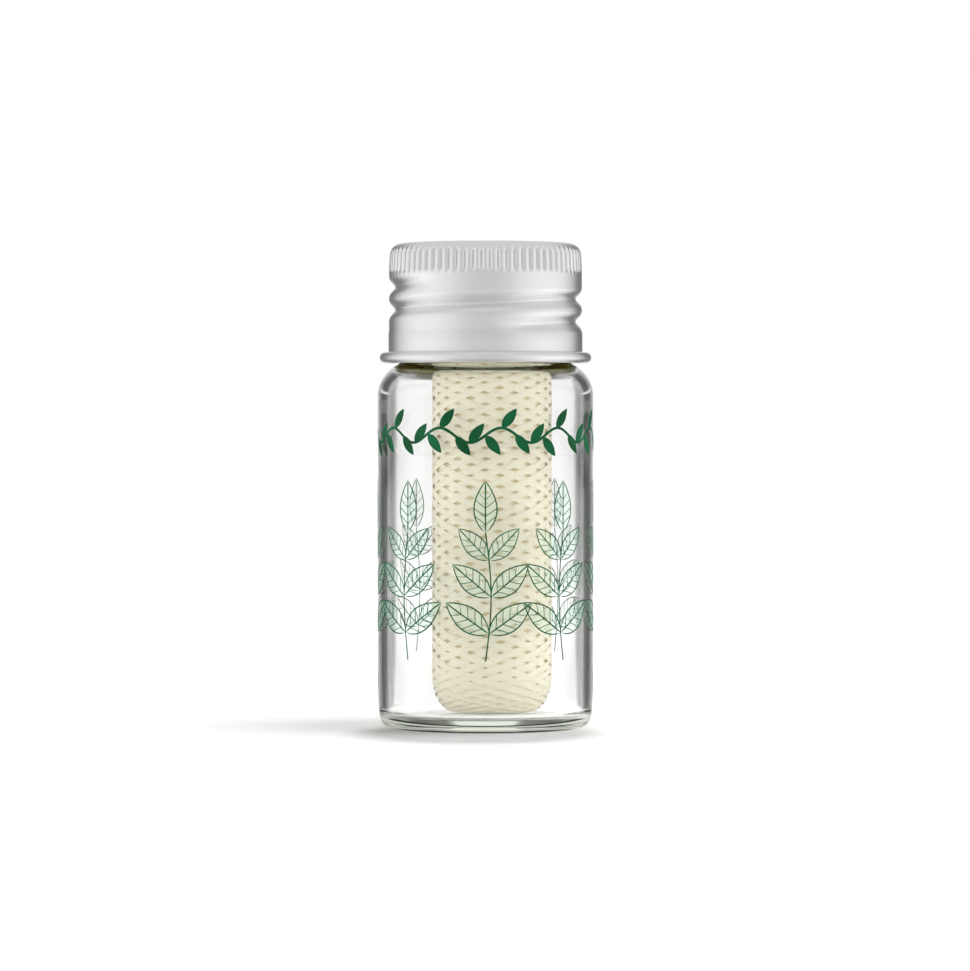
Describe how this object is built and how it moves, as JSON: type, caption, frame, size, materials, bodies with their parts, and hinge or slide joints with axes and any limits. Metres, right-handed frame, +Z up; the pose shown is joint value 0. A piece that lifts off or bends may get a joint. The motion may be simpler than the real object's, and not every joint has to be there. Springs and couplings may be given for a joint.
{
  "type": "dental floss dispenser",
  "caption": "Clear glass vial with a satin aluminium screw cap; a package of crosswise wound floss stands inside, and a stopper in the neck holds the orifice and the cutter.",
  "frame": {"origin": "centre of the vial's base, on the surface that it stands on", "axes": "+Z up along the vial's axis, +X to the right and +Y away from the viewer, seen from the front"},
  "size_m": [0.0266, 0.0266, 0.0599],
  "materials": {
    "clear_glass": "clear and polished, faintly green where it is thick",
    "satin_aluminium": "satin, drawn sheet",
    "liner_foam": "matt white foam",
    "natural_polyethylene": "natural, slightly waxy",
    "cutter_steel": "bright spring steel",
    "floss": "undyed waxed thread"
  },
  "bodies": {
    "vial": {"glass_vial": "clear_glass", "inner_stopper": "natural_polyethylene", "cutter_clip": "cutter_steel", "floss_lead": "floss"},
    "bobbin": {"floss_core": "floss", "floss_winding": "floss"},
    "cap_wad": {"cap_liner": "liner_foam"},
    "cap": {"screw_cap": "satin_aluminium"}
  },
  "joints": [
    {"name": "bobbin_spin", "type": "hinge", "parent": "vial", "child": "bobbin", "pos_m": [0.0008, 0, 0.0019], "axis": [0, 0, 1], "continuous": true},
    {"name": "cap_lift", "type": "slide", "parent": "vial", "child": "cap_wad", "axis": [0, 0, 1], "range_m": [0, 0.0135]},
    {"name": "cap_turn", "type": "hinge", "parent": "cap_wad", "child": "cap", "pos_m": [0, 0, 0.05803], "axis": [0, 0, 1], "range_deg": [0, 1710]}
  ],
  "couplings": [
    {"joint": "cap_lift", "follows": "cap_turn", "m_per_rad": 0.00044882}
  ]
}
